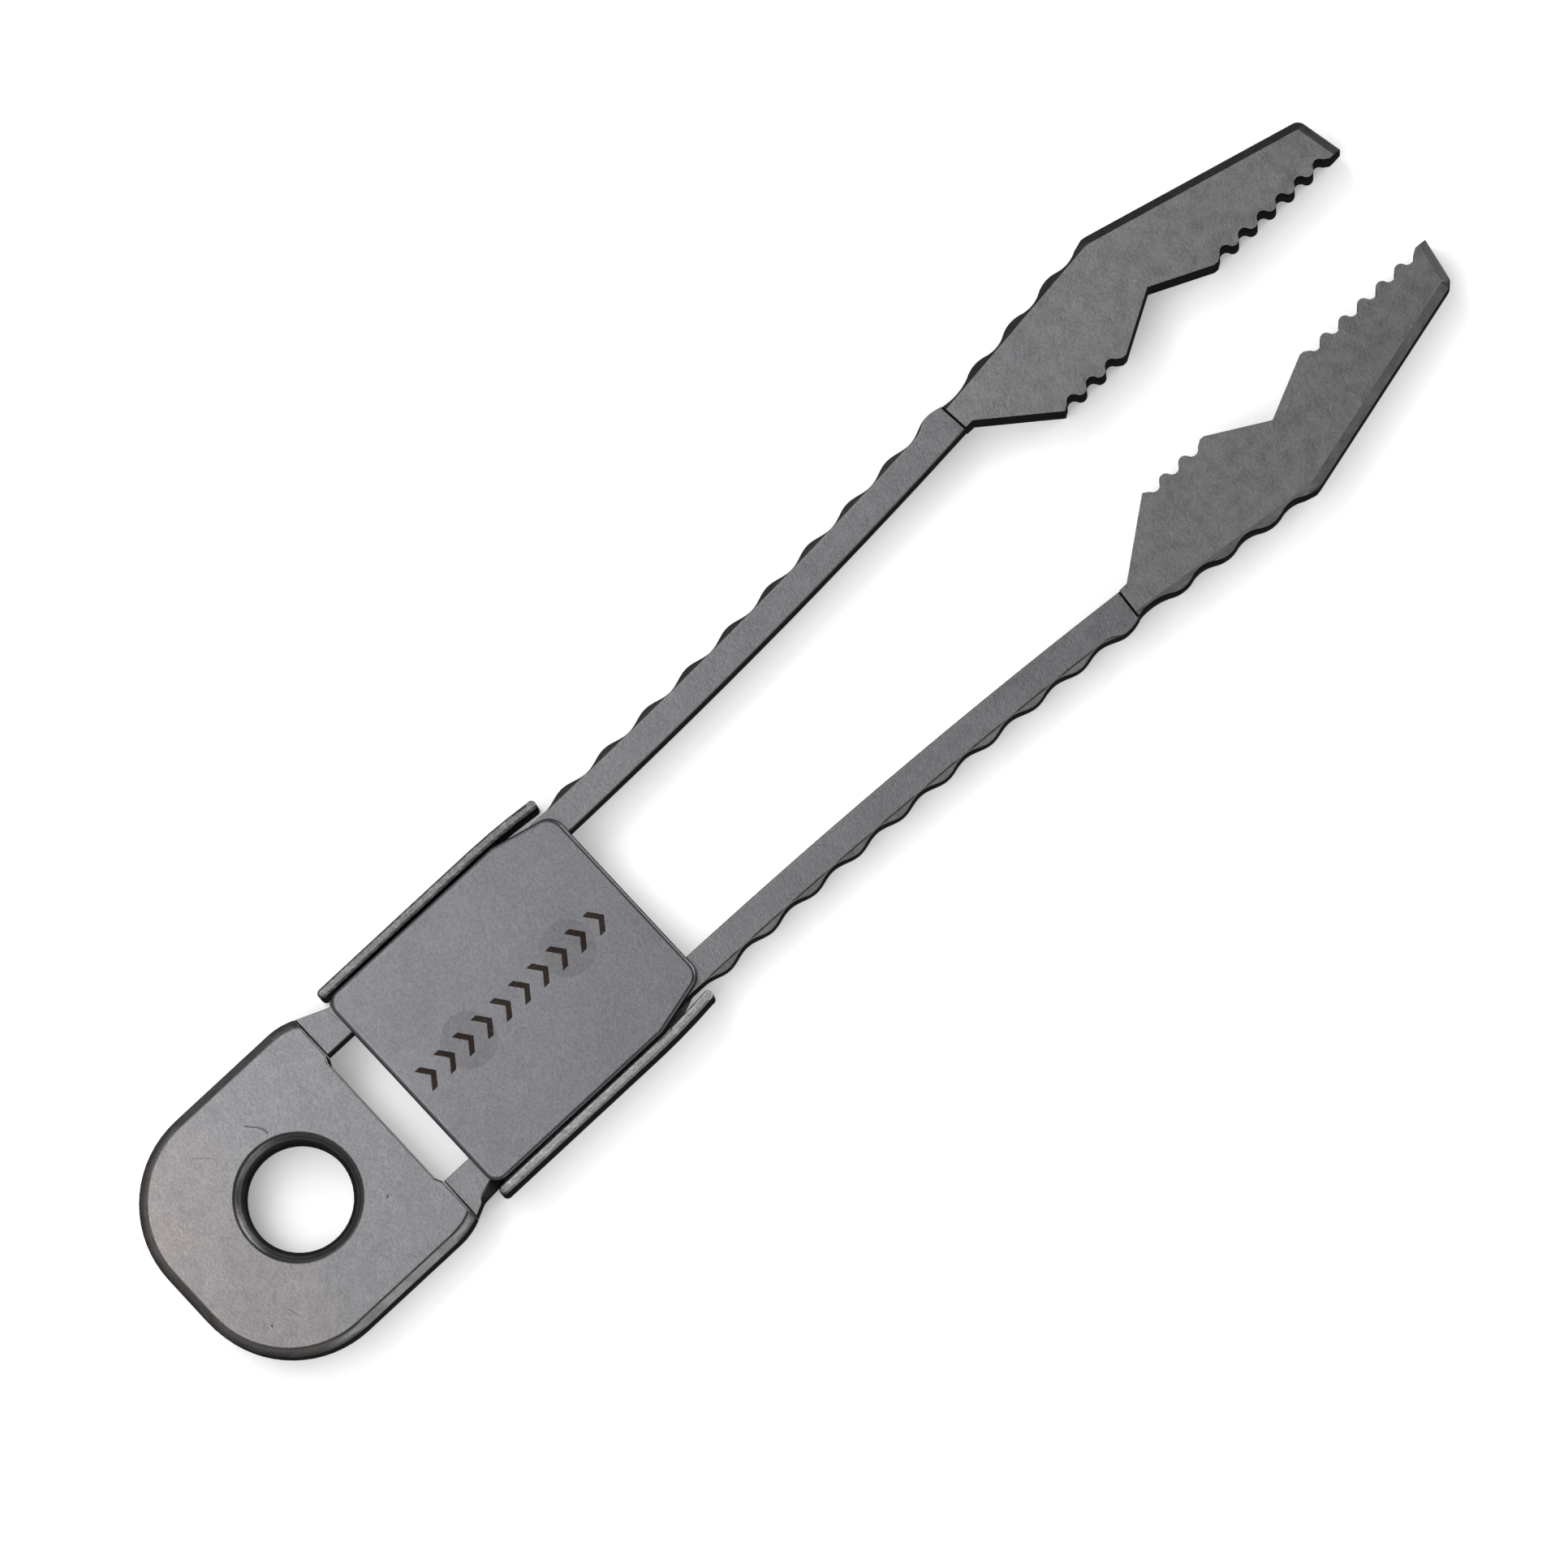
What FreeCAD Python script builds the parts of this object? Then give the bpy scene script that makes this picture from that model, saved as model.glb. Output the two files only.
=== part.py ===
import FreeCAD, Part
import math
import os

# Keychain gripping tongs: a handle plate with a keyring hole, two spring arms that end in plier
# jaws, and a collar that slides along the arms to close the jaws and hold them closed.
#
# The tongs are one blank of flat steel. It is divided here where it bends: each arm is cut square
# across beside the handle and again in front of the collar, and each jaw is its own solid.
#
# The origin is the centre of the keyring hole at half the thickness. +X runs forward to the jaws,
# +Y is the left arm's side and +Z is the side of the collar's cover. All sizes are in millimetres.

# Thicknesses
BODY_HALF = 1.20          # half the thickness of the handle and the jaws
ARM_HALF = 0.80           # half the thickness of the arms, milled thinner on both faces
COLLAR_RUN = 0.04         # running gap between an arm's face and a collar plate
BEND_SEAM = 0.05          # width of the square cut that stands for a place where an arm bends
PAST = 1.0                # how far a trimming shape runs past what it trims
TOUCH = 1e-3              # how near two places are when they are taken as one

# Handle
HANDLE_HALF_W = 5.80
HANDLE_REAR = -6.20
HANDLE_CORNER_R = 4.60
HANDLE_STEP = 4.77        # where the handle's full thickness ends
HANDLE_BEVEL = 0.38
SHOULDER_X = 3.60         # where the straight side starts to turn in
SHOULDER_STEP_Y = 5.54    # half width left at the step
SHOULDER_BULGE = 0.06     # how far the shoulder bows out from a straight line
WINDOW_REAR = 4.62
WINDOW_CORNER = 0.15      # how far the window's rear corners are rounded forward

# Keyring hole: a bore with a countersink of two slopes on each face
HOLE_R = 2.22
HOLE_EDGE_R = 2.67
HOLE_MID_R = 2.44
HOLE_MID_DEPTH = 0.24
HOLE_BORE_DEPTH = 0.62

# Arms: a mid-line that runs straight, then bows outward on one large arc
ARM_Y = 4.16              # mid-line of the straight stretch
ARM_INNER = -0.63         # inner edge, from the mid-line
ARM_VALLEY = 0.64         # outer edge in a wave's valley, from the mid-line
ARM_CREST = 0.90          # outer edge at a wave's crest
ARM_BEVEL_LINE = 0.62     # where the outer bevel leaves the flat face
BOW_START = 16.70
BOW_R = 282.0
NECK_X = 6.35             # where the shoulder has nearly narrowed to the arm's own width
NECK_EXTRA = 0.07         # how much wider than the arm the neck still is there
NECK_RUN = 0.90           # how far in front of that it has gone
BEND_X = 18.50            # the second bend, just in front of the collar
ARM_END = 41.53           # length along the mid-line to the jaw's step
WAVE_FIRST_CREST = 19.30
WAVE_PITCH = 2.375
WAVE_COUNT = 9
ARM_END_OUTER = 0.70      # outer edge at the jaw's step, from the mid-line

# Jaws
JAW_OUTER_START = (41.50, 6.05)     # line over the crests of the jaw's rear outer edge
JAW_APEX = (50.30, 7.13)
JAW_TOP_CORNER = (60.22, 4.62)
JAW_END_FOOT = (60.62, 2.62)
JAW_CORNER_R = 0.45
JAW_APEX_R = 1.60
JAW_BLOCK_CLEAR = 0.03              # how far the bevelled block stands off the crests
JAW_CREST_PITCH = 2.27
JAW_CREST_SWING = 0.13
JAW_HALF_WAVES = 6
JAW_RISE_RUN = 0.70        # the outline rises out of the last wave over this length
JAW_STEP_OUTER = 0.66      # the jaw's outer edge at the step, from the arm's mid-line
JAW_BEVEL = 0.36
JAW_BLOCK_INNER = 1.0      # inner side of the block, well inside the teeth
JAW_INNER_CORNER = (41.95, 4.63)
REAR_TOOTH_FIRST = 44.97
REAR_TOOTH_PITCH = 1.075
REAR_TOOTH_GAPS = 3
REAR_TOOTH_Y = 2.32
NOTCH_VERTEX = (50.93, 3.77)
FRONT_TOOTH_FIRST = 53.78
FRONT_TOOTH_PITCH = 1.045
FRONT_TOOTH_GAPS = 6
FRONT_TOOTH_Y = 2.56
TOOTH_DEPTH = 0.35
TOOTH_LAND = 0.20         # flat between a tooth row and the pipe notch

# Collar
COLLAR_REAR = 6.20
COLLAR_FRONT = 18.30
COVER_HALF_W = 5.20
COVER_REAR_R = 0.65
COVER_CUT_START = 15.50   # where the front corner's cut leaves the side
COVER_CUT_END = (17.60, 4.68)
COVER_FRONT_Y = 3.90      # where the front corner's round meets the front edge
COVER_NOSE_BULGE = 0.20
COVER_SOFT_EDGE = 0.20
WING_INNER = 5.30
WING_T = 0.42
WING_REAR = 6.17
WING_END = 18.10
WING_MOUTH_INNER = 5.12
WING_TOE_START = 14.80
WING_TOE_BULGE = 0.04
WING_SOFT_EDGE = 0.12
POST_R = 1.20
POST_X = {"rear": 9.50, "front": 15.00}

PLATE_Z = ARM_HALF + COLLAR_RUN     # inner face of each collar plate
NODES = {}


def vec(point, z=0.0):
    return FreeCAD.Vector(point[0], point[1], z)


def line(start, end):
    return Part.LineSegment(vec(start), vec(end)).toShape()


def arc(start, middle, end):
    return Part.Arc(vec(start), vec(middle), vec(end)).toShape()


def bowed(start, end, bulge):
    """An arc whose middle stands off the straight line, to the left on the way to its end."""
    run = end[0] - start[0]
    rise = end[1] - start[1]
    length = math.hypot(run, rise)
    middle = ((start[0] + end[0]) / 2 - bulge * rise / length,
              (start[1] + end[1]) / 2 + bulge * run / length)
    return arc(start, middle, end)


def round_corner(centre, radius, start_deg, end_deg):
    """An arc about a centre, between two directions."""
    angles = [math.radians(a) for a in (start_deg, (start_deg + end_deg) / 2, end_deg)]
    places = [(centre[0] + radius * math.cos(a), centre[1] + radius * math.sin(a)) for a in angles]
    return arc(*places)


def prism(edges, low, high):
    """A flat outline in plan, as a solid between two heights."""
    face = Part.Face(Part.Wire(Part.__sortEdges__(edges)))
    face.translate(FreeCAD.Vector(0, 0, low))
    return face.extrude(FreeCAD.Vector(0, 0, high - low))


def polygon(points):
    """The straight edges through the points, closed."""
    return [line(a, b) for a, b in zip(points, points[1:] + points[:1])]


def wave(place, start, half_pitch, count, mean, swing):
    """Tangent arcs to one side of a line and then the other. place gives a point at a distance
    along the line and a distance off it."""
    edges = []
    for i in range(count):
        here = start + i * half_pitch
        side = swing if i % 2 == 0 else -swing
        middle = place(here + half_pitch / 2, mean + side)
        edges.append(arc(place(here, mean), middle, place(here + half_pitch, mean)))
    return edges


def mirrored(shape):
    """The right-hand twin of a left-hand shape."""
    return shape.mirror(FreeCAD.Vector(0, 0, 0), FreeCAD.Vector(0, 1, 0))


def add_pair(name, shape):
    NODES["left_" + name] = shape
    NODES["right_" + name] = mirrored(shape)


def on_arm(along, off):
    """The point at a distance along an arm's mid-line and a distance outward from it."""
    if along <= BOW_START:
        return (along, ARM_Y + off)
    turn = (along - BOW_START) / BOW_R
    reach = BOW_R - off
    return (BOW_START + reach * math.sin(turn), ARM_Y + BOW_R - reach * math.cos(turn))


def handle():
    corner_x = HANDLE_REAR + HANDLE_CORNER_R
    corner_y = HANDLE_HALF_W - HANDLE_CORNER_R
    step_corner = (HANDLE_STEP, SHOULDER_STEP_Y)
    window_y = ARM_Y + ARM_INNER
    half = [
        round_corner((corner_x, corner_y), HANDLE_CORNER_R, 180, 90),
        line((corner_x, HANDLE_HALF_W), (SHOULDER_X, HANDLE_HALF_W)),
        bowed((SHOULDER_X, HANDLE_HALF_W), step_corner, SHOULDER_BULGE),
        line(step_corner, (HANDLE_STEP, window_y)),
        line((HANDLE_STEP, window_y), (WINDOW_REAR, window_y - 2 * WINDOW_CORNER)),
    ]
    other = [mirrored(edge) for edge in half]
    closing = [
        line((HANDLE_REAR, corner_y), (HANDLE_REAR, -corner_y)),
        line((WINDOW_REAR, window_y - 2 * WINDOW_CORNER), (WINDOW_REAR, 2 * WINDOW_CORNER - window_y)),
    ]
    plate = prism(half + other + closing, -BODY_HALF, BODY_HALF)
    plate = plate.makeChamfer(HANDLE_BEVEL, handle_rim(plate))
    return plate.cut(keyring_cutter())


def handle_rim(plate):
    """The top and bottom edges round the rear and the sides."""
    rim = []
    for edge in plate.Edges:
        box = edge.BoundBox
        flat = box.ZLength < TOUCH
        beside = max(abs(box.YMin), abs(box.YMax)) > SHOULDER_STEP_Y
        outside = beside or box.XMax < HANDLE_REAR + TOUCH
        across_step = box.XMin > HANDLE_STEP - TOUCH
        if flat and outside and not across_step:
            rim.append(edge)
    return rim


def keyring_cutter():
    """Bore and countersinks as one turned shape."""
    top = BODY_HALF
    profile = [(0, top + PAST), (HOLE_EDGE_R + PAST, top + PAST), (HOLE_EDGE_R, top),
               (HOLE_MID_R, top - HOLE_MID_DEPTH), (HOLE_R, top - HOLE_BORE_DEPTH)]
    profile += [(r, -z) for r, z in reversed(profile)]
    corners = [FreeCAD.Vector(r, 0, z) for r, z in profile]
    face = Part.Face(Part.makePolygon(corners + corners[:1]))
    return face.revolve(FreeCAD.Vector(0, 0, 0), FreeCAD.Vector(0, 0, 1), 360)


def arm_root():
    """The arm from the handle's step to the second bend, mostly inside the collar."""
    start = HANDLE_STEP + BEND_SEAM
    end = BEND_X - BEND_SEAM / 2
    arm_y = ARM_Y + ARM_VALLEY
    neck = (NECK_X, arm_y + NECK_EXTRA)
    arm_start = (NECK_X + NECK_RUN, arm_y)
    slope = (SHOULDER_STEP_Y - neck[1]) / (NECK_X - HANDLE_STEP)
    start_y = SHOULDER_STEP_Y - slope * BEND_SEAM
    bow_middle = (BOW_START + end) / 2
    outline = [
        line((start, ARM_Y + ARM_INNER), (start, start_y)),
        line((start, start_y), neck),
        line(neck, arm_start),
        line(arm_start, (BOW_START, arm_y)),
        arc(on_arm(BOW_START, ARM_VALLEY), on_arm(bow_middle, ARM_VALLEY), on_arm(end, ARM_VALLEY)),
        line(on_arm(end, ARM_VALLEY), on_arm(end, ARM_INNER)),
        arc(on_arm(end, ARM_INNER), on_arm(bow_middle, ARM_INNER), on_arm(BOW_START, ARM_INNER)),
        line(on_arm(BOW_START, ARM_INNER), (start, ARM_Y + ARM_INNER)),
    ]
    return prism(outline, -ARM_HALF, ARM_HALF)


def arm_bevel_body():
    """The bowed stretch with smooth bevelled outer edges, before the waves are cut."""
    inner = ARM_INNER - PAST
    drop = ARM_CREST - ARM_BEVEL_LINE
    section = [(inner, -ARM_HALF), (ARM_BEVEL_LINE, -ARM_HALF), (ARM_CREST, drop - ARM_HALF),
               (ARM_CREST, ARM_HALF - drop), (ARM_BEVEL_LINE, ARM_HALF), (inner, ARM_HALF)]
    corners = [FreeCAD.Vector(BOW_START, ARM_Y + off, z) for off, z in section]
    face = Part.Face(Part.makePolygon(corners + corners[:1]))
    centre = FreeCAD.Vector(BOW_START, ARM_Y + BOW_R, 0)
    sweep = math.degrees((ARM_END + PAST - BOW_START) / BOW_R)
    return face.revolve(centre, FreeCAD.Vector(0, 0, 1), sweep)


def spring_arm():
    """The bowed arm in front of the collar, with waves along its outer edge."""
    start = BEND_X + BEND_SEAM / 2
    half_pitch = WAVE_PITCH / 2
    mean = (ARM_CREST + ARM_VALLEY) / 2
    swing = (ARM_CREST - ARM_VALLEY) / 2
    first = WAVE_FIRST_CREST - half_pitch / 2
    halves = 2 * WAVE_COUNT
    last = first + halves * half_pitch
    middle = (start + ARM_END) / 2
    outline = [line(on_arm(start, ARM_INNER), on_arm(start, ARM_VALLEY)),
               line(on_arm(start, ARM_VALLEY), on_arm(first, mean))]
    outline += wave(on_arm, first, half_pitch, halves, mean, swing)
    last_middle = (last + ARM_END) / 2
    outline += [
        arc(on_arm(last, mean), on_arm(last_middle, ARM_CREST), on_arm(ARM_END, ARM_END_OUTER)),
        line(on_arm(ARM_END, ARM_END_OUTER), on_arm(ARM_END, ARM_INNER)),
        arc(on_arm(ARM_END, ARM_INNER), on_arm(middle, ARM_INNER), on_arm(start, ARM_INNER)),
    ]
    return prism(outline, -ARM_HALF, ARM_HALF).common(arm_bevel_body())


def on_jaw_edge(along, off):
    """The point at a distance along the jaw's rear outer line and a distance outward from it."""
    run = JAW_APEX[0] - JAW_OUTER_START[0]
    rise = JAW_APEX[1] - JAW_OUTER_START[1]
    length = math.hypot(run, rise)
    ahead = (run / length, rise / length)
    return (JAW_OUTER_START[0] + along * ahead[0] - off * ahead[1],
            JAW_OUTER_START[1] + along * ahead[1] + off * ahead[0])


def tooth_row(first, pitch, gaps, tip_y):
    """Rounded valleys and tips between a first and a last tip. Returns the edges and the ends."""
    def place(along, depth):
        return (first + along, tip_y + depth)

    half = TOOTH_DEPTH / 2
    start = place(0, 0)
    end = place(gaps * pitch, 0)
    edges = [line(start, place(pitch / 4, half))]
    edges += wave(place, pitch / 4, pitch / 2, 2 * gaps - 1, half, half)
    edges.append(line(place(gaps * pitch - pitch / 4, half), end))
    return edges, start, end


def jaw_outer_wave():
    """The scalloped rear outer edge, from the step to the apex."""
    half_pitch = JAW_CREST_PITCH / 2
    last = math.dist(JAW_OUTER_START, JAW_APEX) - half_pitch / 2
    first = last - JAW_HALF_WAVES * half_pitch
    mean = -JAW_CREST_SWING
    step = on_arm(ARM_END, JAW_STEP_OUTER)
    edges = [arc(step, on_jaw_edge(first / 2, 2 * mean), on_jaw_edge(first, mean))]
    edges += wave(on_jaw_edge, first, half_pitch, JAW_HALF_WAVES, mean, JAW_CREST_SWING)
    return edges, step, on_jaw_edge(last, mean)


def jaw():
    """One plier jaw: its inner outline is cut straight through, and its front and end faces are
    those of the bevelled block."""
    outer, step, wave_end = jaw_outer_wave()
    rear_teeth, rear_start, rear_end = tooth_row(
        REAR_TOOTH_FIRST, REAR_TOOTH_PITCH, REAR_TOOTH_GAPS, REAR_TOOTH_Y)
    front_teeth, front_start, front_end = tooth_row(
        FRONT_TOOTH_FIRST, FRONT_TOOTH_PITCH, FRONT_TOOTH_GAPS, FRONT_TOOTH_Y)
    notch_start = (rear_end[0] + TOOTH_LAND, rear_end[1])
    notch_end = (front_start[0] - TOOTH_LAND, front_start[1])
    inner_start = on_arm(ARM_END, ARM_INNER)
    rise_end = (wave_end[0] + JAW_RISE_RUN, JAW_APEX[1] + JAW_BLOCK_CLEAR)
    above_apex = (rise_end[0], JAW_APEX[1] + PAST)
    past_end = JAW_END_FOOT[0] + PAST
    outline = outer + [
        line(wave_end, rise_end),
        line(rise_end, above_apex),
        line(above_apex, (past_end, above_apex[1])),
        line((past_end, above_apex[1]), (past_end, front_end[1])),
        line((past_end, front_end[1]), front_end),
    ] + front_teeth + [
        line(front_start, notch_end),
        line(notch_end, NOTCH_VERTEX),
        line(NOTCH_VERTEX, notch_start),
        line(notch_start, rear_end),
    ] + rear_teeth + [
        line(rear_start, JAW_INNER_CORNER),
        line(JAW_INNER_CORNER, inner_start),
        line(inner_start, step),
    ]
    return prism(outline, -BODY_HALF, BODY_HALF).common(jaw_block())


def jaw_block():
    """A plain block round the jaw whose outer and end edges carry the bevel."""
    start = on_jaw_edge(-PAST, JAW_BLOCK_CLEAR)
    rake = (JAW_END_FOOT[0] - JAW_TOP_CORNER[0]) / (JAW_TOP_CORNER[1] - JAW_END_FOOT[1])
    toe = (JAW_END_FOOT[0] + rake * (JAW_END_FOOT[1] - JAW_BLOCK_INNER), JAW_BLOCK_INNER)
    corners = [start, JAW_APEX, JAW_TOP_CORNER, JAW_END_FOOT, toe, (start[0], JAW_BLOCK_INNER)]
    block = prism(polygon(corners), -BODY_HALF, BODY_HALF)
    block = block.makeFillet(JAW_APEX_R, upright_edges(block, JAW_APEX[0]))
    block = block.makeFillet(JAW_CORNER_R, upright_edges(block, JAW_TOP_CORNER[0]))
    rim = [e for e in block.Edges if e.BoundBox.ZLength < TOUCH
           and e.BoundBox.YMin > JAW_END_FOOT[1] - TOUCH]
    return block.makeChamfer(JAW_BEVEL, rim)


def upright_edges(solid, x):
    """The edges along Z at one X."""
    return [e for e in solid.Edges if e.BoundBox.ZLength > BODY_HALF and abs(e.BoundBox.XMin - x) < TOUCH]


def collar_plan(half_width):
    """The plan of a collar plate: round rear corners and cut, rounded front corners."""
    rear = COLLAR_REAR
    front = COLLAR_FRONT
    r = COVER_REAR_R
    half = [
        round_corner((rear + r, half_width - r), r, 180, 90),
        line((rear + r, half_width), (COVER_CUT_START, half_width)),
        line((COVER_CUT_START, half_width), COVER_CUT_END),
        bowed(COVER_CUT_END, (front, COVER_FRONT_Y), COVER_NOSE_BULGE),
    ]
    ends = [
        line((rear, half_width - r), (rear, r - half_width)),
        line((front, COVER_FRONT_Y), (front, -COVER_FRONT_Y)),
    ]
    return half + [mirrored(edge) for edge in half] + ends


def post_hole(x):
    return Part.makeCylinder(POST_R, 4 * BODY_HALF, FreeCAD.Vector(x, 0, -2 * BODY_HALF))


def with_post_holes(plate):
    for x in POST_X.values():
        plate = plate.cut(post_hole(x))
    return plate


def collar_cover():
    plate = prism(collar_plan(COVER_HALF_W), PLATE_Z, BODY_HALF)
    top = [e for e in plate.Edges if e.BoundBox.ZMin > BODY_HALF - TOUCH]
    return with_post_holes(plate.makeFillet(COVER_SOFT_EDGE, top))


def wing_plan():
    """A wing seen from above: straight, toed in at the front, with round ends."""
    outer = WING_INNER + WING_T
    mouth_outer = WING_MOUTH_INNER + WING_T
    r = WING_T / 2
    rear_x = WING_REAR + r
    front_x = WING_END - r
    return [
        arc((rear_x, WING_INNER), (WING_REAR, WING_INNER + r), (rear_x, outer)),
        line((rear_x, outer), (WING_TOE_START, outer)),
        bowed((WING_TOE_START, outer), (front_x, mouth_outer), WING_TOE_BULGE),
        arc((front_x, mouth_outer), (WING_END, mouth_outer - r), (front_x, WING_MOUTH_INNER)),
        bowed((WING_TOE_START, WING_INNER), (front_x, WING_MOUTH_INNER), WING_TOE_BULGE),
        line((WING_TOE_START, WING_INNER), (rear_x, WING_INNER)),
    ]


def collar_channel():
    """The lower plate with a wing folded up along each side."""
    floor = prism(collar_plan(WING_INNER + WING_T / 2), -BODY_HALF, -PLATE_Z)
    wing = prism(wing_plan(), -BODY_HALF, BODY_HALF)
    side = WING_INNER + WING_T - TOUCH
    rims = [e for e in wing.Edges if e.BoundBox.ZLength < TOUCH and e.BoundBox.YMin > side]
    wing = wing.makeFillet(WING_SOFT_EDGE, rims)
    return with_post_holes(floor.fuse([wing, mirrored(wing)]).removeSplitter())


def build():
    NODES["handle"] = handle()
    add_pair("arm_root", arm_root())
    add_pair("spring_arm", spring_arm())
    add_pair("jaw", jaw())
    NODES["collar_channel"] = collar_channel()
    NODES["collar_cover"] = collar_cover()
    for end, x in POST_X.items():
        NODES[end + "_post"] = Part.makeCylinder(POST_R, 2 * BODY_HALF, FreeCAD.Vector(x, 0, -BODY_HALF))


def export():
    os.makedirs("parts", exist_ok=True)
    for name, shape in NODES.items():
        solid = shape.Solids[0]
        assert len(shape.Solids) == 1 and solid.isValid(), name
        solid.exportStep("parts/" + name + ".step")
        box = solid.BoundBox
        size = "%.2f x %.2f x %.2f" % (box.XLength, box.YLength, box.ZLength)
        print("%-18s %8.2f mm3   %s" % (name, solid.Volume, size))


build()
export()
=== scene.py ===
# Looks of the keychain gripping tongs: dark stonewashed steel on a white studio floor.
# The imported CAD model is the frame. The handle, jaws and collar keep their CAD meshes and get
# Each spring arm is one continuous skin that stands in for the CAD arm's pieces, which are hidden.
# Positions are in metres. Lengths written with MM are millimetres on the object.
import math

import bmesh
import bpy
from mathutils import Matrix, Vector


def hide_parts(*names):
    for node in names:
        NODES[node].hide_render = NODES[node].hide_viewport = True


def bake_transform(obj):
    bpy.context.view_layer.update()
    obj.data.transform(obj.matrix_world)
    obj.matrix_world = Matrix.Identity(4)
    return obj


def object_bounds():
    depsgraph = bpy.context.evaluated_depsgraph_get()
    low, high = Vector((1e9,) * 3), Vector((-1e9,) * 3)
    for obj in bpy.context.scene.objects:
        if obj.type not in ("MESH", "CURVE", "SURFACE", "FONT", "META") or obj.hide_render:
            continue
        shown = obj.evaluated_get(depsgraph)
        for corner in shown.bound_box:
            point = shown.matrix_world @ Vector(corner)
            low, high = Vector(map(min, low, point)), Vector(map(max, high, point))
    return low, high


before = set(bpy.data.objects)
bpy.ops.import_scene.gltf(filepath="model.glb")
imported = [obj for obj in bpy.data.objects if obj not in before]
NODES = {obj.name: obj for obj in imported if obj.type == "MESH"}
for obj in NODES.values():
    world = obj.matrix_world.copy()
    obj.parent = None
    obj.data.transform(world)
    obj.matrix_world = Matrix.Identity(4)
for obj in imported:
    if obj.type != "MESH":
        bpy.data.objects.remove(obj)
cad_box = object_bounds()

MM = 0.001

# The arms' driving sizes, in millimetres, as the CAD model has them. "along" runs forward on an
# arm's mid-line and "off" is the distance outward from it.
ARM_Y = 4.16
ARM_HALF_T = 0.80
ARM_INNER = -0.63
ARM_VALLEY = 0.64
ARM_CREST = 0.90
ARM_BEVEL_LINE = 0.62
BOW_START = 16.70
BOW_R = 282.0
ARM_END = 41.53
ARM_END_OUTER = 0.70
SHOULDER = 1.36
NECK = 6.35
NECK_EXTRA = 0.07
NECK_RUN = 0.90
WAVE_CREST = 19.30
WAVE_PITCH = 2.375
LAST_CREST = WAVE_CREST + 9 * WAVE_PITCH

# The arm skins, in millimetres
ARM_START = 4.775
ROOT_HINGE_OFF = 0.34      # the root turns about a line this far outside the mid-line
ROOT_SLANT = 0.032         # the end face leans back inside that line, to clear the handle
FACET_START = 5.37         # the right arm's shoulder has a facet from here
FACET_END = 7.60
FACET_OUTER = 1.08
FACET_STEEP = 1.7
FACET_DEPTH = 0.72
LAST_WAVE_POWER = 2.0      # the outline falls slowly from the last crest, then faster
RUN_OUT = (LAST_CREST - 1.0, LAST_CREST + 0.1)     # where the bevel's line meets the outline
BEVEL_GAP = 0.02           # the flat face always stops this far inside the outline
CORNER_R = 0.05
CORNER_CUTS = 3
CORNER_SHARE = 0.3         # the most of a side that one rounded corner takes
FLAT_POINT = 1.5           # the point that keeps a flat flat, in corner radii from the corner
SECTION_SPACING = 0.095

# The softened edges of the CAD nodes, in millimetres
HANDLE_EDGE = 0.10
JAW_EDGE = 0.07
CHANNEL_EDGE = 0.09
WELD_REACH = 0.0005
SHARP_ANGLE = math.radians(28)
FLAT_WEIGHT = 80

# The steel
METALLIC = 0.9
BUMP_STRENGTH = 0.5
BUMP_DEPTH = 0.012 * MM
WALL_TO_BEVEL = (0.15, 0.55)       # how far a surface faces up where its painted shade turns
BEVEL_TO_FACE = (0.86, 0.99)
PAINTED_EDGE_IN = (0.80, 0.86)           # a painted dark line of shade runs where a face turns into a bevel
PAINTED_EDGE_OUT = (0.996, 0.982)
PAINTED_EDGE_SHADE = 0.5
NOISE_MIDDLE = (0.3, 0.7)          # the range that most of a noise lies in
SCRATCH_WAYS = ((0.75, 0.0), (-0.6, 13.0), (1.35, 27.0))     # turn and shift of each set
PAINTED_LIGHT_REACH = 8.0               # millimetres off the middle where the painted side light is full
PAINTED_SIDE_LIGHT = 0.09
PAINTED_REAR_LIGHT = 1.12           # painted light: how much paler the rear is painted
PAINTED_REAR_FADE = (4.0, 24.0)    # it fades out over this stretch, in millimetres
MILL_TURN = 0.42

# The handle's hair scratch, painted warm light, and the countersink's painted shade and highlight, in
# millimetres
PAINTED_WARM_FROM = 1.5
PAINTED_WARM_TO = -5.0
PAINTED_WARM_LIGHT = (1.20, 1.10, 1.04)
SINK_EDGE = (2.76, 2.66)   # the countersink's painted shade fades in between these radii
SINK_SHADE = 0.55
# a painted highlight line round the countersink, where its two cones meet
SINK_HIGHLIGHT_R = 2.43
SINK_HIGHLIGHT_STRENGTH = 0.7
SINK_PAINTED_HIGHLIGHT = (0.20, 0.205, 0.21, 1)
HAIR_X = 0.66
HAIR_Y = 3.2
HAIR_LEAN = 0.42
HAIR_SWAY = 0.11
HAIR_TURNS = 4.6
HAIR_WIDTH = (0.05, 0.02)
HAIR_START = (2.72, 2.8)
HAIR_STOP = (3.75, 3.6)
TOP_ONLY = (1.1, 1.15)

# The collar's marks and the wings' painted light, in millimetres
CHEVRON_START = 7.0
CHEVRON_PITCH = 1.04
CHEVRON_COUNT = 10
CHEVRON_SLOPE = 0.75
CHEVRON_STROKE = (0.19, 0.15)      # the half stroke fades out between these
CHEVRON_HALF_W = (0.56, 0.53)
CHEVRON_FLOOR = (1.15, 1.18)       # only the cover's top is marked
BURNT = (0.021, 0.015, 0.012, 1)
WING_FROM_Y = (5.02, 5.06)
WING_FROM_Z = (0.98, 1.1)
WING_GRAIN_TURN = 0.6
WING_PAINTED_LIGHT = (0.19, 0.19, 0.195, 1)
WING_BRIGHT = (0.30, 0.30, 0.31, 1)
WING_DARK = (0.04, 0.04, 0.045, 1)

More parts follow.
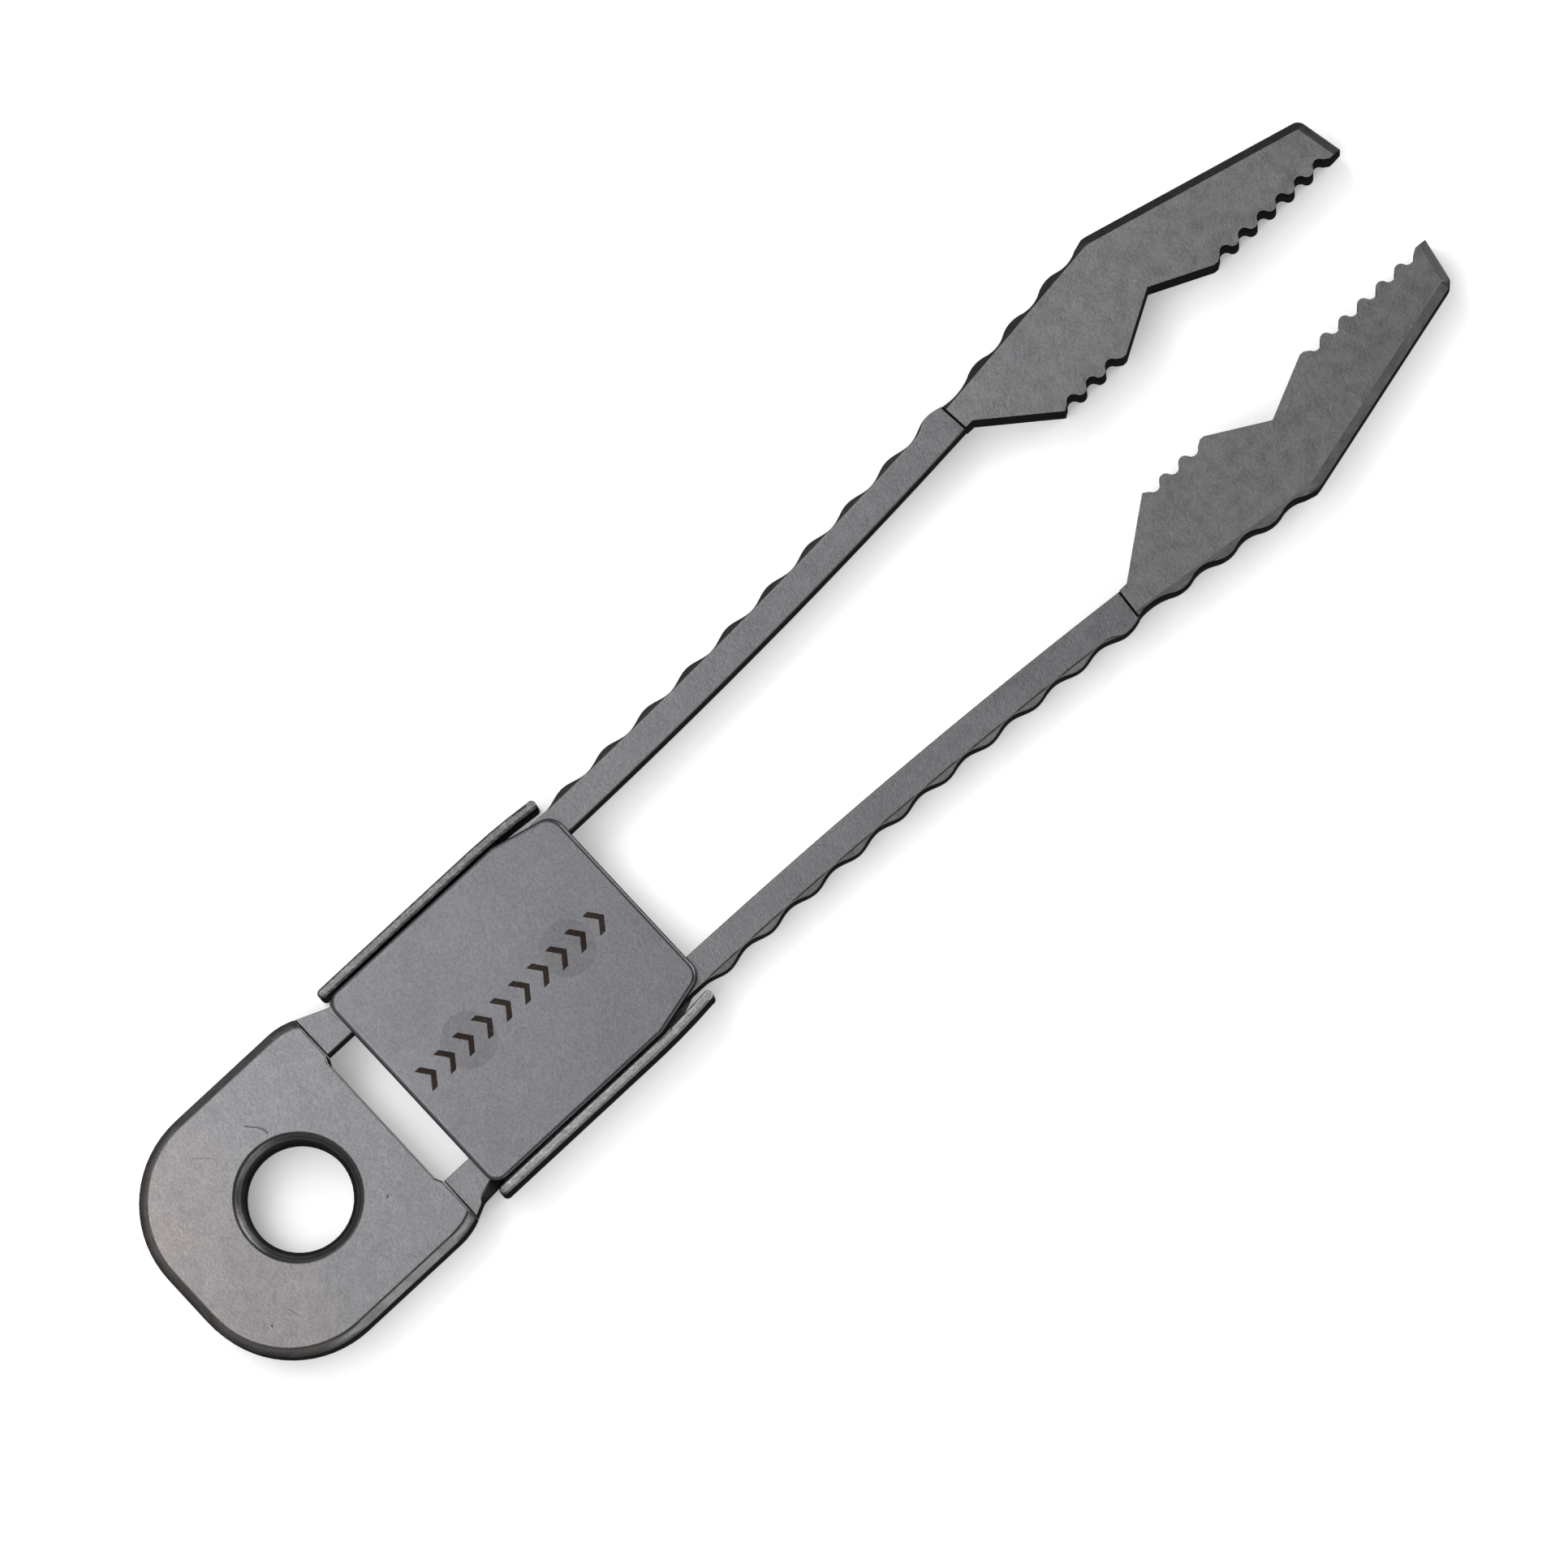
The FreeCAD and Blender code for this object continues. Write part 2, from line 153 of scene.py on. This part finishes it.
# Camera, floor and light
VIEW_TURN = math.radians(42.81)    # the object's long axis rises to the right by this angle
CAMERA_AT = Vector((4.05, -56.85, 547.0)) * MM
LOOK_AT = Vector((26.08, -1.07, 1.0)) * MM
LENS = 307.7
FLOOR_HALF = 3.0
FLOOR_GAP = 0.00002
FLOOR_WHITE = 0.70
FLOOR_GLOW = 0.24
HORIZON = 0.5
ZENITH = 0.2
BELOW = 0.03


# ---------------------------------------------------------------- node helpers

class Shader:
    """A material's node tree with short calls for the nodes used here."""

    def __init__(self, name):
        self.material = bpy.data.materials.new(name)
        self.material.use_nodes = True
        self.tree = self.material.node_tree
        self.bsdf = self.tree.nodes["Principled BSDF"]

    def node(self, kind, **settings):
        made = self.tree.nodes.new(kind)
        for key, value in settings.items():
            setattr(made, key, value)
        return made

    def plug(self, value, socket):
        if isinstance(value, bpy.types.NodeSocket):
            self.tree.links.new(value, socket)
        elif value is not None:
            socket.default_value = value

    def math(self, operation, a, b=None):
        made = self.node("ShaderNodeMath", operation=operation)
        for value, socket in zip((a, b), made.inputs):
            self.plug(value, socket)
        return made.outputs[0]

    def mapped(self, value, low, high, to_low=0.0, to_high=1.0):
        """value carried smoothly from low..high to to_low..to_high, and clamped."""
        made = self.node("ShaderNodeMapRange", interpolation_type="SMOOTHSTEP")
        for key, part in (("Value", value), ("From Min", low), ("From Max", high),
                          ("To Min", to_low), ("To Max", to_high)):
            self.plug(part, made.inputs[key])
        return made.outputs[0]

    def noise(self, where, scale, detail=3.0, rough=0.55, distortion=0.0):
        made = self.node("ShaderNodeTexNoise")
        self.plug(where, made.inputs["Vector"])
        made.inputs["Scale"].default_value = scale
        made.inputs["Detail"].default_value = detail
        made.inputs["Roughness"].default_value = rough
        made.inputs["Distortion"].default_value = distortion
        return made.outputs["Fac"]

    def place(self, where, turn=0.0, stretch=(1, 1, 1), shift=(0, 0, 0)):
        made = self.node("ShaderNodeMapping")
        self.plug(where, made.inputs["Vector"])
        made.inputs["Location"].default_value = shift
        made.inputs["Rotation"].default_value = (0, 0, turn)
        made.inputs["Scale"].default_value = stretch
        return made.outputs[0]

    def shade(self, colour, factor):
        """A colour multiplied by a number."""
        made = self.node("ShaderNodeVectorMath", operation="SCALE")
        self.plug(colour, made.inputs[0])
        self.plug(factor, made.inputs["Scale"])
        return made.outputs[0]

    def mix(self, factor, a, b):
        made = self.node("ShaderNodeMix", data_type="RGBA")
        self.plug(factor, made.inputs["Factor"])
        self.plug(a, made.inputs[6])
        self.plug(b, made.inputs[7])
        return made.outputs[2]

    def product(self, *factors):
        total = factors[0]
        for factor in factors[1:]:
            total = self.math("MULTIPLY", total, factor)
        return total


# ---------------------------------------------------------------- materials

def steel(name, face, bevel, wall, roughness=0.36, milling=0.0, marks=()):
    """Stonewashed steel: paler flat faces, with darker bevels and nearly black cut walls that are
    painted shade, set by how far a surface faces up, and a thin painted dark line of shade where a face
    turns into a bevel; with a fine blasted grain, tumbling nicks, short scratches and pits, and
    painted light that makes the left-hand side and the rear paler. marks are functions that add a
    piece's own marks to the colour, height and roughness."""
    s = Shader(name)
    where = s.node("ShaderNodeTexCoord").outputs["Object"]
    normal = s.node("ShaderNodeNewGeometry").outputs["Normal"]
    split = s.node("ShaderNodeSeparateXYZ")
    s.plug(normal, split.inputs[0])
    upward = s.math("ABSOLUTE", split.outputs["Z"])
    # painted shade: bevels and cut walls are coloured darker the less they face up
    colour = s.mix(s.mapped(upward, *WALL_TO_BEVEL), wall + (1,), bevel + (1,))
    colour = s.mix(s.mapped(upward, *BEVEL_TO_FACE), colour, face + (1,))
    # painted shade: a thin dark line along the rounded edge where a face turns into a bevel
    painted_edge_band = s.product(s.mapped(upward, *PAINTED_EDGE_IN), s.mapped(upward, *PAINTED_EDGE_OUT))
    colour = s.shade(colour, s.mapped(painted_edge_band, 0, 1, 1.0, PAINTED_EDGE_SHADE))

    value, height = grain(s, where)
    for turn, shift in SCRATCH_WAYS:
        value, height = scratches(s, where, turn, shift, value, height)
    value, height = pits(s, where, value, height)
    if milling:
        value, height = mill_marks(s, where, milling, value, height)
    x, y, _ = in_millimetres(s, where)
    # painted light: paler towards the left-hand side and towards the rear, darker towards the right-hand
    # side
    value = s.product(value, s.mapped(y, -PAINTED_LIGHT_REACH, PAINTED_LIGHT_REACH, 1 - PAINTED_SIDE_LIGHT, 1 + PAINTED_SIDE_LIGHT),
                      s.mapped(x, *PAINTED_REAR_FADE, PAINTED_REAR_LIGHT, 1.0))
    colour = s.shade(colour, value)
    rough = s.mapped(s.noise(where, 1500), 0.25, 0.75, roughness - 0.05, roughness + 0.06)
    for mark in marks:
        colour, height, rough = mark(s, where, colour, height, rough)

    bump = s.node("ShaderNodeBump")
    bump.inputs["Strength"].default_value = BUMP_STRENGTH
    bump.inputs["Distance"].default_value = BUMP_DEPTH
    s.plug(height, bump.inputs["Height"])
    s.plug(bump.outputs[0], s.bsdf.inputs["Normal"])
    s.plug(colour, s.bsdf.inputs["Base Color"])
    s.plug(rough, s.bsdf.inputs["Roughness"])
    s.bsdf.inputs["Metallic"].default_value = METALLIC
    return s.material


def grain(s, where):
    """Fine blasted grain over soft blotches: the colour factor and the height."""
    mottle = s.noise(where, 260, 4, 0.6)
    blotch = s.noise(where, 1700, 3, 0.6)
    coarse = s.noise(where, 4600, 2, 0.55, 0.8)
    fine = s.noise(where, 9500, 2, 0.6)
    value = s.product(
        s.mapped(mottle, *NOISE_MIDDLE, 0.96, 1.04),
        s.mapped(blotch, *NOISE_MIDDLE, 0.985, 1.015),
        s.mapped(coarse, *NOISE_MIDDLE, 0.975, 1.025),
        s.mapped(fine, *NOISE_MIDDLE, 0.90, 1.10),
    )
    height = s.math("ADD", s.math("MULTIPLY", fine, 0.9), s.math("MULTIPLY", coarse, 0.7))
    return value, height


def scratches(s, where, turn, shift, value, height):
    """Sparse short scratches that run one way."""
    along = s.place(s.place(where, turn), 0.0, (620, 9000, 900), (shift, shift, 0))
    scratch = s.mapped(s.noise(along, 1.0, 1.0, 0.4), 0.765, 0.82)
    value = s.product(value, s.mapped(scratch, 0, 1, 1.0, 0.84))
    return value, s.math("SUBTRACT", height, s.math("MULTIPLY", scratch, 0.8))


def pits(s, where, value, height):
    """A few small dark pits."""
    cells = s.node("ShaderNodeTexVoronoi", feature="F1")
    s.plug(where, cells.inputs["Vector"])
    cells.inputs["Scale"].default_value = 700
    chosen = s.node("ShaderNodeSeparateColor")
    s.plug(cells.outputs["Color"], chosen.inputs[0])
    pit = s.product(s.mapped(cells.outputs["Distance"], 0.06, 0.03),
                    s.mapped(chosen.outputs[0], 0.84, 0.86))
    value = s.product(value, s.mapped(pit, 0, 1, 1.0, 0.6))
    return value, s.math("SUBTRACT", height, s.math("MULTIPLY", pit, 2.0))


def mill_marks(s, where, depth, value, height):
    """Faint slanting tracks of a milling cutter, worn away in patches."""
    tracks = s.node("ShaderNodeTexWave", wave_type="BANDS", bands_direction="X")
    s.plug(s.place(where, MILL_TURN), tracks.inputs["Vector"])
    for key, number in (("Scale", 2600), ("Distortion", 3), ("Detail", 2), ("Detail Scale", 1.4)):
        tracks.inputs[key].default_value = number
    left = s.mapped(s.noise(where, 900, 2), 0.42, 0.6)
    line = s.product(tracks.outputs["Fac"], left)
    value = s.product(value, s.mapped(line, 0, 1, 1 - depth, 1 + depth))
    return value, s.math("ADD", height, s.math("MULTIPLY", line, 6 * depth))


def in_millimetres(s, where):
    """The X, Y and Z of a point on the object, in millimetres."""
    split = s.node("ShaderNodeSeparateXYZ")
    s.plug(s.place(where, 0.0, (1000, 1000, 1000)), split.inputs[0])
    return split.outputs["X"], split.outputs["Y"], split.outputs["Z"]


def handle_marks_and_painted_light(s, where, colour, height, rough):
    """Painted warm light that makes the rear warmer and paler in patches, painted shade inside the
    countersink with a painted highlight line round it, and one wandering hair scratch beside the hole."""
    x, y, z = in_millimetres(s, where)
    # painted light: a warmer, paler cast over the rear, in patches
    patch = s.mapped(s.noise(where, 300, 3, 0.6), 0.3, 0.62, 0.45, 1.0)
    warm = s.product(s.mapped(x, PAINTED_WARM_FROM, PAINTED_WARM_TO), patch)
    tinted = s.node("ShaderNodeVectorMath", operation="MULTIPLY")
    s.plug(colour, tinted.inputs[0])
    tinted.inputs[1].default_value = PAINTED_WARM_LIGHT
    colour = s.mix(warm, colour, tinted.outputs[0])

    radius = s.math("SQRT", s.math("ADD", s.math("MULTIPLY", x, x), s.math("MULTIPLY", y, y)))
    # painted shade inside the countersink
    colour = s.shade(colour, s.mapped(radius, *SINK_EDGE, 1.0, SINK_SHADE))
    # painted highlight: a pale line round the countersink, where its two cones meet
    edge = s.mapped(s.math("ABSOLUTE", s.math("SUBTRACT", radius, SINK_HIGHLIGHT_R)), 0.06, 0.02)
    colour = s.mix(s.math("MULTIPLY", edge, SINK_HIGHLIGHT_STRENGTH), colour, SINK_PAINTED_HIGHLIGHT)

    sway = s.math("MULTIPLY", s.math("SINE", s.math("MULTIPLY", y, HAIR_TURNS)), HAIR_SWAY)
    lean = s.math("MULTIPLY", s.math("SUBTRACT", y, HAIR_Y), HAIR_LEAN)
    path = s.math("ADD", s.math("SUBTRACT", s.math("SUBTRACT", x, HAIR_X), sway), lean)
    hair = s.product(s.mapped(s.math("ABSOLUTE", path), *HAIR_WIDTH), s.mapped(y, *HAIR_START),
                     s.mapped(y, *HAIR_STOP), s.mapped(z, *TOP_ONLY))
    colour = s.shade(colour, s.mapped(hair, 0, 1, 1.0, 0.5))
    height = s.math("SUBTRACT", height, s.math("MULTIPLY", hair, 2.0))
    return colour, height, rough


def chevron_marks(s, where, colour, height, rough):
    """A row of etched chevrons that show which way the collar slides to close the jaws."""
    x, y, z = in_millimetres(s, where)
    across = s.math("ABSOLUTE", y)
    length = CHEVRON_COUNT * CHEVRON_PITCH
    swept = s.math("ADD", x, s.math("MULTIPLY", across, CHEVRON_SLOPE))
    along = s.math("SUBTRACT", swept, CHEVRON_START)
    step = s.math("MODULO", along, CHEVRON_PITCH)
    stroke = s.math("ABSOLUTE", s.math("SUBTRACT", step, CHEVRON_PITCH / 2))
    edge = s.math("MULTIPLY", s.noise(where, 8000, 2, 0.6), 0.05)
    mark = s.product(s.mapped(s.math("ADD", stroke, edge), *CHEVRON_STROKE),
                     s.mapped(across, *CHEVRON_HALF_W), s.mapped(along, 0.0, 0.02),
                     s.mapped(along, length, length - 0.02), s.mapped(z, *CHEVRON_FLOOR))
    burnt = s.product(mark, s.mapped(s.noise(where, 4200, 3, 0.7), 0.25, 0.45, 0.72, 1.0))
    colour = s.mix(burnt, colour, BURNT)
    height = s.math("SUBTRACT", height, s.math("MULTIPLY", mark, 2.0))
    rough = s.math("ADD", rough, s.math("MULTIPLY", mark, 0.25))
    return colour, height, rough


def wing_marks_and_painted_light(s, where, colour, height, rough):
    """The sheared, hammered top edge of each wing, with painted light that makes the right-hand one
    paler and its bright chips stronger.
    """
    x, y, z = in_millimetres(s, where)
    rim = s.product(s.mapped(s.math("ABSOLUTE", y), *WING_FROM_Y), s.mapped(z, *WING_FROM_Z))
    slanted = s.place(s.place(where, WING_GRAIN_TURN), 0.0, (0.45, 1.0, 1.0))
    chips = s.noise(slanted, 7000, 4, 0.7)
    # painted light: the right-hand wing's top edge is painted paler and its chips brighter
    pale = s.product(rim, s.mapped(y, 2, -2, 0.0, 0.75), s.mapped(x, 6.3, 6.8))
    colour = s.mix(pale, colour, WING_PAINTED_LIGHT)
    bright = s.product(rim, s.mapped(chips, 0.50, 0.66), s.mapped(y, 2, -2, 0.35, 0.6))
    dark = s.product(rim, s.mapped(chips, 0.40, 0.31))
    colour = s.mix(bright, colour, WING_BRIGHT)
    colour = s.mix(s.math("MULTIPLY", dark, 0.6), colour, WING_DARK)
    height = s.math("ADD", height, s.product(rim, chips, 6.0))
    return colour, height, rough


# ---------------------------------------------------------------- spring arms

def smooth(value, low, high):
    """0 to 1 as value goes from low to high, with soft ends."""
    t = min(1.0, max(0.0, (value - low) / (high - low)))
    return t * t * (3 - 2 * t)


def on_arm(along, off, side):
    """The point at a distance along an arm's mid-line and a distance outward, in millimetres."""
    if along <= BOW_START:
        return (along, side * (ARM_Y + off))
    turn = (along - BOW_START) / BOW_R
    reach = BOW_R - off
    return (BOW_START + reach * math.sin(turn), side * (ARM_Y + BOW_R - reach * math.cos(turn)))


def arm_outer(along, faceted):
    """Outer edge: the shoulder, the straight stretch in the collar, then waves to the jaw's step.
    On the faceted arm the shoulder's outline stays wide and its upper edge falls away instead."""
    if faceted and along < FACET_END:
        wide = ramp(along, ARM_START, FACET_START, SHOULDER, FACET_OUTER)
        return ramp(along, NECK, FACET_END, wide, ARM_VALLEY)
    if along < NECK + NECK_RUN:
        neck = ramp(along, NECK, NECK + NECK_RUN, ARM_VALLEY + NECK_EXTRA, ARM_VALLEY)
        return ramp(along, ARM_START, NECK, SHOULDER, neck)
    if along < WAVE_CREST - WAVE_PITCH / 2:
        return ARM_VALLEY
    mean = (ARM_CREST + ARM_VALLEY) / 2
    swing = (ARM_CREST - ARM_VALLEY) / 2
    wave = mean + swing * math.cos(2 * math.pi * (along - WAVE_CREST) / WAVE_PITCH)
    if along < LAST_CREST:
        return wave
    return ramp(along, LAST_CREST, ARM_END, ARM_CREST, ARM_END_OUTER, LAST_WAVE_POWER)


def arm_bevel_line(along, outer, faceted):
    """Where the flat face ends: along the facet's curve, then a smooth line that runs out to the
    outline at the last bulge."""
    if along < FACET_START or (along < NECK and not faceted):
        return outer - BEVEL_GAP
    if along < NECK:
        fall = math.sqrt((along - FACET_START) / (NECK - FACET_START))
        return FACET_OUTER + (ARM_BEVEL_LINE - FACET_OUTER) * fall
    line = ARM_BEVEL_LINE + smooth(along, *RUN_OUT) * (outer - ARM_BEVEL_LINE)
    return min(line, outer - BEVEL_GAP)


def ramp(value, low, high, start, end, power=1.0):
    """start to end as value goes from low to high."""
    t = min(1.0, max(0.0, (value - low) / (high - low)))
    return start + (end - start) * t ** power


def rounded_section(corners):
    """A closed outline with each corner replaced by a small arc, and a point on either side that
    keeps the flats flat."""
    points = []
    count = len(corners)
    for i, corner in enumerate(corners):
        corner = Vector(corner)
        before = Vector(corners[i - 1]) - corner
        after = Vector(corners[(i + 1) % count]) - corner
        r = min(CORNER_R, CORNER_SHARE * before.length, CORNER_SHARE * after.length)
        start = corner + before.normalized() * r
        end = corner + after.normalized() * r
        points.append(corner + before.normalized() * FLAT_POINT * r)
        for k in range(CORNER_CUTS + 1):
            t = k / CORNER_CUTS
            points.append(start * (1 - t) ** 2 + corner * 2 * t * (1 - t) + end * t * t)
        points.append(corner + after.normalized() * FLAT_POINT * r)
    return points


def arm_skin(name, side, faceted):
    """One arm from the handle's step to the jaw's step, lofted through sections across it."""
    mesh = bmesh.new()
    rings = []
    count = round((ARM_END - ARM_START) / SECTION_SPACING)
    for i in range(count + 1):
        along = ARM_START + (ARM_END - ARM_START) * i / count
        outer = arm_outer(along, faceted)
        line = arm_bevel_line(along, outer, faceted)
        depth = FACET_STEEP if along < NECK + NECK_RUN else 1.0
        drop = min((outer - line) * depth, FACET_DEPTH)
        h = ARM_HALF_T
        corners = [(ARM_INNER, -h), (line, -h), (outer, drop - h),
                   (outer, h - drop), (line, h), (ARM_INNER, h)]
        ring = []
        for off, z in rounded_section(corners):
            lean = ROOT_SLANT * max(0.0, ROOT_HINGE_OFF - off) if i == 0 else 0.0
            x, y = on_arm(along + lean, off, side)
            ring.append(mesh.verts.new((x * MM, y * MM, z * MM)))
        rings.append(ring)
    for near, far in zip(rings, rings[1:]):
        for k in range(len(near)):
            n = (k + 1) % len(near)
            mesh.faces.new((near[k], near[n], far[n], far[k]))
    mesh.faces.new(rings[0])
    mesh.faces.new(list(reversed(rings[-1])))
    bmesh.ops.recalc_face_normals(mesh, faces=mesh.faces)
    data = bpy.data.meshes.new(name)
    mesh.to_mesh(data)
    mesh.free()
    data.shade_smooth()
    arm = bpy.data.objects.new(name, data)
    bpy.context.scene.collection.objects.link(arm)
    even_shading(arm)
    return arm


def even_shading(obj):
    """Flat faces stay flat beside their rounded edges."""
    weighted = obj.modifiers.new("even_shading", "WEIGHTED_NORMAL")
    weighted.keep_sharp = True
    weighted.weight = FLAT_WEIGHT


def soften_edges(obj, width):
    """Rounds a CAD node's sharp edges by a modifier, which leaves its mesh as it is."""
    weld = obj.modifiers.new("weld", "WELD")
    weld.merge_threshold = WELD_REACH * MM
    bevel = obj.modifiers.new("soft_edges", "BEVEL")
    bevel.width = width * MM
    bevel.segments = 2
    bevel.limit_method = "ANGLE"
    bevel.angle_limit = SHARP_ANGLE
    bevel.use_clamp_overlap = True
    bevel.harden_normals = True
    even_shading(obj)


def dress(obj, material):
    obj.data.materials.clear()
    obj.data.materials.append(material)


# ---------------------------------------------------------------- the pieces

# Each steel gets a face colour, then darker bevel and wall colours that are painted shade
body_face = (0.120, 0.120, 0.125)
handle_steel = steel("handle_steel", (0.121, 0.121, 0.127), (0.112, 0.114, 0.115), (0.028, 0.028, 0.030),
                     marks=(handle_marks_and_painted_light,))
arm_steel = steel("arm_steel", body_face, (0.078, 0.079, 0.077), (0.020, 0.020, 0.021), milling=0.022)
jaw_steel = steel("jaw_steel", (0.132, 0.132, 0.136), (0.060, 0.061, 0.060), (0.020, 0.020, 0.021),
                  milling=0.012)
cover_steel = steel("cover_steel", (0.113, 0.113, 0.120), (0.11, 0.11, 0.115), (0.02, 0.02, 0.022),
                    0.40, marks=(chevron_marks,))
channel_steel = steel("channel_steel", (0.100, 0.100, 0.105), (0.07, 0.07, 0.073), (0.02, 0.02, 0.022),
                      0.42, marks=(wing_marks_and_painted_light,))
post_steel = steel("post_steel", (0.101, 0.101, 0.106), (0.1, 0.1, 0.1), (0.02, 0.02, 0.02), 0.46,
                   marks=(chevron_marks,))

dress(NODES["handle"], handle_steel)
soften_edges(NODES["handle"], HANDLE_EDGE)
for hand in ("left", "right"):
    dress(NODES[hand + "_jaw"], jaw_steel)
    soften_edges(NODES[hand + "_jaw"], JAW_EDGE)
dress(NODES["collar_cover"], cover_steel)
dress(NODES["collar_channel"], channel_steel)
soften_edges(NODES["collar_channel"], CHANNEL_EDGE)
for end in ("front", "rear"):
    dress(NODES[end + "_post"], post_steel)

for hand, side, faceted in (("left", 1, False), ("right", -1, True)):
    skin = arm_skin(hand + "_arm_skin", side, faceted)
    dress(skin, arm_steel)
    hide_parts(hand + "_arm_root", hand + "_spring_arm")
    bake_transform(skin)


# ---------------------------------------------------------------- camera, floor and light

def make_camera():
    data = bpy.data.cameras.new("camera")
    data.lens = LENS
    data.sensor_width = 36
    data.clip_start = 0.01
    data.clip_end = 20
    camera = bpy.data.objects.new("camera", data)
    bpy.context.scene.collection.objects.link(camera)
    back = (CAMERA_AT - LOOK_AT).normalized()
    up = Vector((math.sin(VIEW_TURN), math.cos(VIEW_TURN), 0))
    up = (up - back * up.dot(back)).normalized()
    right = up.cross(back)
    turn = Matrix((right, up, back)).transposed()
    camera.matrix_world = Matrix.Translation(CAMERA_AT) @ turn.to_4x4()
    bpy.context.scene.camera = camera


def make_floor():
    """A white light-table sheet under the object: its glow keeps the narrow shadows pale."""
    level = cad_box[0].z - FLOOR_GAP
    half = FLOOR_HALF
    data = bpy.data.meshes.new("floor")
    corners = [(-half, -half, level), (half, -half, level), (half, half, level), (-half, half, level)]
    data.from_pydata(corners, [], [(0, 1, 2, 3)])
    floor = bpy.data.objects.new("floor", data)
    bpy.context.scene.collection.objects.link(floor)
    paper = Shader("white_floor")
    paper.bsdf.inputs["Base Color"].default_value = (FLOOR_WHITE, FLOOR_WHITE, FLOOR_WHITE, 1)
    paper.bsdf.inputs["Roughness"].default_value = 0.9
    paper.bsdf.inputs["Specular IOR Level"].default_value = 0.0
    paper.bsdf.inputs["Emission Color"].default_value = (1, 1, 1, 1)
    paper.bsdf.inputs["Emission Strength"].default_value = FLOOR_GLOW
    data.materials.append(paper.material)
    floor.visible_glossy = False     # the steel's upright walls stay dark, as over a black gap


def soft_box(name, towards, distance, size, power):
    """A soft area light that faces the object from a direction and doesn't show in the picture."""
    data = bpy.data.lights.new(name, "AREA")
    data.shape = "RECTANGLE"
    data.size, data.size_y = size
    data.energy = power
    lamp = bpy.data.objects.new(name, data)
    bpy.context.scene.collection.objects.link(lamp)
    lamp.visible_camera = False
    way = Vector(towards).normalized()
    middle = (cad_box[0] + cad_box[1]) / 2
    lamp.location = middle + way * distance
    lamp.rotation_mode = "QUATERNION"
    lamp.rotation_quaternion = way.to_track_quat("Z", "Y")


def make_world():
    """Soft light from above that fades towards the horizon, and darkness below it."""
    world = bpy.data.worlds.new("studio")
    world.use_nodes = True
    nodes = world.node_tree.nodes
    links = world.node_tree.links
    background = nodes["Background"]
    way = nodes.new("ShaderNodeTexCoord")
    split = nodes.new("ShaderNodeSeparateXYZ")
    links.new(way.outputs["Generated"], split.inputs[0])
    ramp = nodes.new("ShaderNodeValToRGB")
    links.new(split.outputs["Z"], ramp.inputs[0])
    stops = ((0.0, BELOW), (0.02, HORIZON), (0.6, HORIZON), (1.0, ZENITH))
    while len(ramp.color_ramp.elements) < len(stops):
        ramp.color_ramp.elements.new(0.5)
    for element, (height, level) in zip(ramp.color_ramp.elements, stops):
        element.position = height
        element.color = (level, level, level, 1)
    links.new(ramp.outputs[0], background.inputs["Color"])
    bpy.context.scene.world = world


make_camera()
make_floor()
make_world()
soft_box("key", (-0.1, 0.75, 0.85), 0.5, (0.34, 0.26), 1.6)
soft_box("ceiling", (-0.42, 0.08, 1.0), 0.45, (0.36, 0.36), 1.35)
soft_box("card", (0.1, -1.0, 0.16), 0.45, (0.40, 0.14), 0.60)
soft_box("end", (1.0, -0.15, 0.3), 0.45, (0.30, 0.20), 1.3)
bpy.context.scene.view_settings.view_transform = "Standard"
